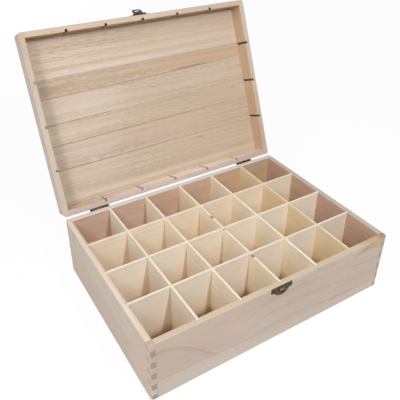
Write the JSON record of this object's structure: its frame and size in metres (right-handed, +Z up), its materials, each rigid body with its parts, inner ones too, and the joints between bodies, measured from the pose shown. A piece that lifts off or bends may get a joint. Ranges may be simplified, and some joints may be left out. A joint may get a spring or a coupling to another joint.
{
  "type": "stamp box",
  "caption": "Finger-jointed wooden stamp box with a hinged lid, an egg-crate of dividers and a small swinging clasp at the front.",
  "frame": {"origin": "centre of the box's flat underside", "axes": "+X to the right, +Y to the back where the hinges are, +Z up; stored with the lid open"},
  "size_m": [0.34, 0.3621, 0.3134],
  "materials": {
    "wall_wood": "bare sanded",
    "lid_wood": "bare sanded",
    "divider_wood": "bare sanded",
    "bottom_wood": "bare sanded",
    "aged_bronze": "darkened, brushed"
  },
  "bodies": {
    "box": {"box_front_upper_board": "wall_wood", "box_front_lower_board": "wall_wood", "box_back_panel": "wall_wood", "box_left_panel": "wall_wood", "box_right_panel": "wall_wood", "box_bottom_panel": "bottom_wood", "cross_divider_1": "divider_wood", "cross_divider_2": "divider_wood", "cross_divider_3": "divider_wood", "cross_divider_4": "divider_wood", "cross_divider_5": "divider_wood", "long_divider_1": "divider_wood", "long_divider_2": "divider_wood", "long_divider_3": "divider_wood", "hinge_left_box_leaf": "aged_bronze", "hinge_right_box_leaf": "aged_bronze", "catch_plate": "aged_bronze", "hinge_left_box_nails": "aged_bronze", "hinge_right_box_nails": "aged_bronze", "catch_plate_nails": "aged_bronze", "hinge_left_pin": "aged_bronze", "hinge_right_pin": "aged_bronze"},
    "lid": {"lid_front_rail": "wall_wood", "lid_back_rail": "wall_wood", "lid_left_rail": "wall_wood", "lid_right_rail": "wall_wood", "lid_board_1": "lid_wood", "lid_board_2": "lid_wood", "lid_board_3": "lid_wood", "lid_board_4": "lid_wood", "lid_board_5": "lid_wood", "lid_board_6": "lid_wood", "hinge_left_lid_leaf": "aged_bronze", "hinge_right_lid_leaf": "aged_bronze", "clasp_plate": "aged_bronze", "hinge_left_lid_nails": "aged_bronze", "hinge_right_lid_nails": "aged_bronze", "clasp_plate_nails": "aged_bronze", "clasp_pin": "aged_bronze"},
    "tongue": {"clasp_tongue": "aged_bronze"}
  },
  "joints": [
    {"name": "lid_hinge", "type": "hinge", "parent": "box", "child": "lid", "pos_m": [0, 0.12255, 0.08465], "axis": [-1, 0, 0], "range_deg": [-112, 0]},
    {"name": "tongue_swing", "type": "hinge", "parent": "lid", "child": "tongue", "pos_m": [-0.0018, 0.21821, 0.31035], "axis": [-1, 0, 0], "range_deg": [-146, 26]}
  ]
}
